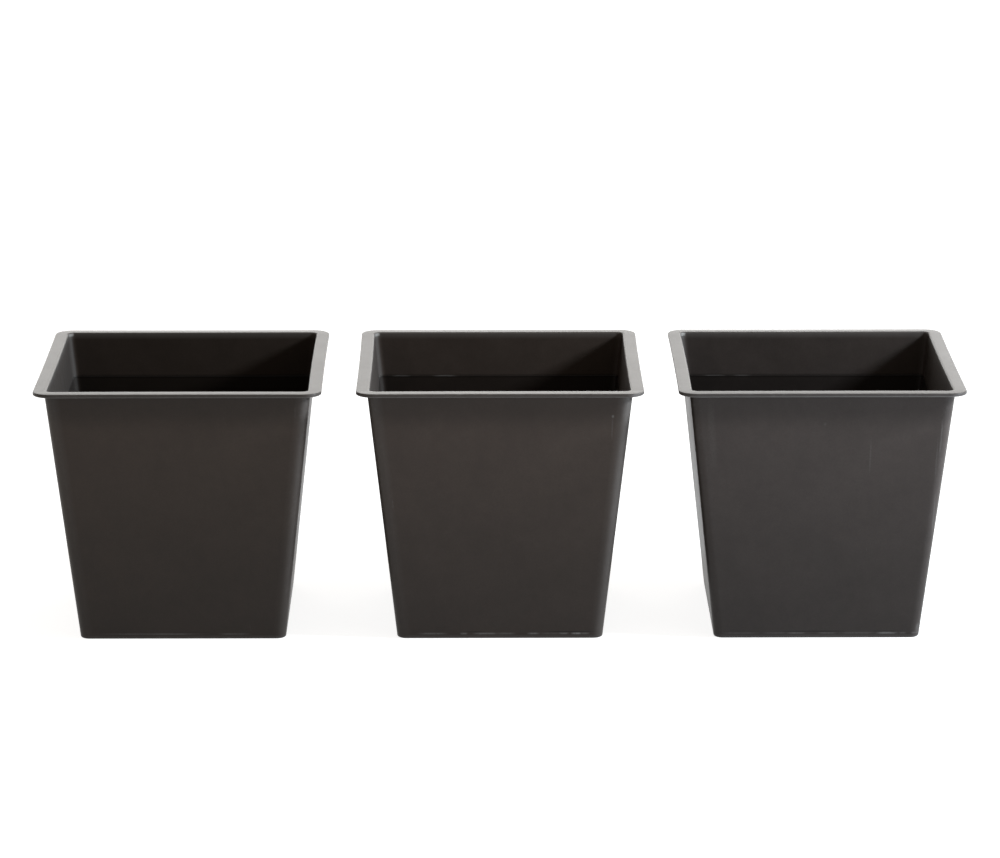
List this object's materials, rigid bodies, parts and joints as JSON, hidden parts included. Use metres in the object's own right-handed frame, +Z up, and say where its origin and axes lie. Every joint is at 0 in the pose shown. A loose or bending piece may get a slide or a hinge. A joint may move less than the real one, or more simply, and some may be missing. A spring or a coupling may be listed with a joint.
{
  "type": "square planter pot set",
  "caption": "Row of square tapered plastic planter pots, each with a flat rim that stands out all round and a mouth open to the base, for plants or as liners in a planter box.",
  "frame": {"origin": "on the floor under the middle pot, at the centre of the row's footprint", "axes": "+X along the row to the right seen from the front, +Z up out of the pots' mouths, -Y is the front"},
  "size_m": [0.534, 0.165, 0.152],
  "materials": {
    "charcoal_plastic_left": "satin moulded plastic, lightly scuffed",
    "charcoal_plastic_middle": "satin moulded plastic, lightly scuffed",
    "charcoal_plastic_right": "satin moulded plastic, lightly scuffed"
  },
  "bodies": {
    "middle": {"pot_middle": "charcoal_plastic_middle"},
    "left": {"pot_left": "charcoal_plastic_left"},
    "right": {"pot_right": "charcoal_plastic_right"}
  },
  "joints": [
    {"name": "left_pot_lift", "type": "slide", "parent": "middle", "child": "left", "axis": [0, 0, 1], "range_m": [0, 0.2]},
    {"name": "right_pot_lift", "type": "slide", "parent": "middle", "child": "right", "axis": [0, 0, 1], "range_m": [0, 0.2]}
  ]
}
